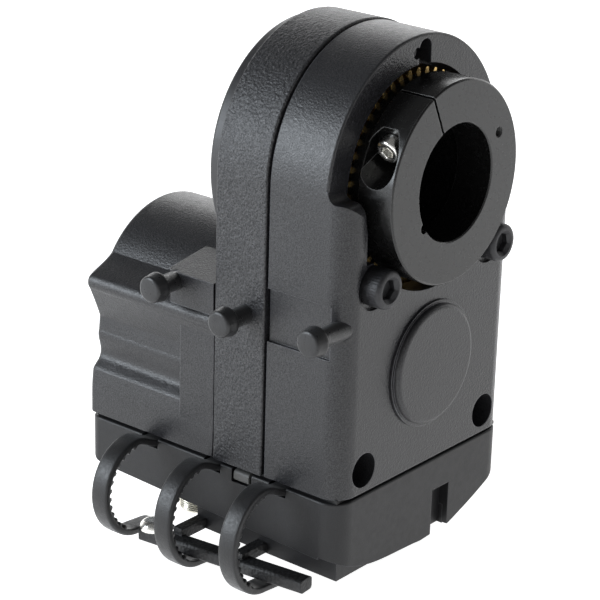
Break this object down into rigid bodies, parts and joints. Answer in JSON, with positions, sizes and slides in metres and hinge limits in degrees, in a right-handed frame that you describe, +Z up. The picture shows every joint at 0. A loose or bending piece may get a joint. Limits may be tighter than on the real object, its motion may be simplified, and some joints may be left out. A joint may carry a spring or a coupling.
{
  "type": "telescope focus motor",
  "caption": "Motorised telescope focuser: a slit clamp collar on a geared hollow hub in an arched housing, with a motor bulge behind, a skirted base, side cable pegs and rubber cable straps.",
  "frame": {"origin": "centre of the clamp collar's front face, on the bore's axis", "axes": "+X to the right along the front, +Y back along the bore's axis, +Z up from the base to the arch"},
  "size_m": [0.0766, 0.0776, 0.1191],
  "materials": {
    "body_casting": "satin black powder coat with a fine orange-peel texture",
    "mid_casting": "coarser speckled black powder coat",
    "motor_casting": "satin black powder coat",
    "base_moulding": "smooth satin black",
    "gasket_rubber": "matte",
    "strap_rubber": "matte black rubber",
    "peg_rubber": "matte black rubber",
    "rail_plastic": "fine pebbled black",
    "tab_plastic": "light grey",
    "black_oxide_steel": "black oxide",
    "anodised_collar": "black anodised, turned face",
    "bright_steel": "bright nickel plate",
    "hub_aluminium": "black anodised",
    "ring_brass": "machined brass",
    "gear_brass": "machined brass",
    "bearing_steel": "ground steel",
    "motor_steel": "zinc-plated steel",
    "contact_metal": "nickel-plated brass",
    "board_green": "solder mask",
    "component_black": "moulded components"
  },
  "bodies": {
    "housing": {"arch_screw": "black_oxide_steel", "back_ring_cover": "body_casting", "base_cover": "base_moulding", "base_gasket": "gasket_rubber", "base_screws": "black_oxide_steel", "bearing_balls": "bearing_steel", "bearing_outer_rings": "bearing_steel", "board_parts": "component_black", "board_screws": "bright_steel", "boss_cap": "body_casting", "circuit_board": "board_green", "cover_screws": "black_oxide_steel", "deep_screws": "black_oxide_steel", "foot_plate": "base_moulding", "front_housing": "body_casting", "gearbox": "motor_steel", "gearbox_screws": "bright_steel", "housing_screws": "black_oxide_steel", "idler_axle": "bright_steel", "mid_frame": "mid_casting", "motor_can": "motor_steel", "motor_housing": "motor_casting", "motor_terminals": "contact_metal", "peg_back": "peg_rubber", "peg_front": "peg_rubber", "peg_middle": "peg_rubber", "power_socket": "contact_metal", "rail_screw": "bright_steel", "rear_screws": "black_oxide_steel", "retaining_ring": "bearing_steel", "slot_insert": "base_moulding", "snap_tab": "tab_plastic", "socket_nut": "contact_metal", "strap_back": "strap_rubber", "strap_front": "strap_rubber", "strap_middle": "strap_rubber", "strap_rail": "rail_plastic"},
    "output": {"hub": "hub_aluminium", "clamp_collar": "anodised_collar", "hub_pins": "bright_steel", "ring_gear": "ring_brass", "hub_spacers": "hub_aluminium", "hub_nut": "hub_aluminium", "bearing_inner_rings": "bearing_steel"},
    "clamp_screw": {"clamp_screw": "bright_steel"},
    "idler": {"idler_gear": "gear_brass"},
    "motor_rotor": {"motor_shaft": "bright_steel", "motor_pinion": "gear_brass"}
  },
  "joints": [
    {"name": "hub_spin", "type": "hinge", "parent": "housing", "child": "output", "pos_m": [0, 0, 0], "axis": [0, 1, 0], "continuous": true},
    {"name": "idler_spin", "type": "hinge", "parent": "housing", "child": "idler", "pos_m": [0.0031, 0.02, -0.02803], "axis": [0, 1, 0], "continuous": true},
    {"name": "motor_spin", "type": "hinge", "parent": "housing", "child": "motor_rotor", "pos_m": [-0.005, 0.03, -0.0407], "axis": [0, 1, 0], "continuous": true},
    {"name": "clamp_screw_turn", "type": "hinge", "parent": "output", "child": "clamp_screw", "pos_m": [-0.00672, 0.005, 0.01441], "axis": [-0.9063, 0, -0.4226], "range_deg": [0, 720]}
  ],
  "couplings": [
    {"joint": "idler_spin", "follows": "hub_spin", "ratio": -3.2857},
    {"joint": "motor_spin", "follows": "hub_spin", "ratio": 5.4762}
  ]
}
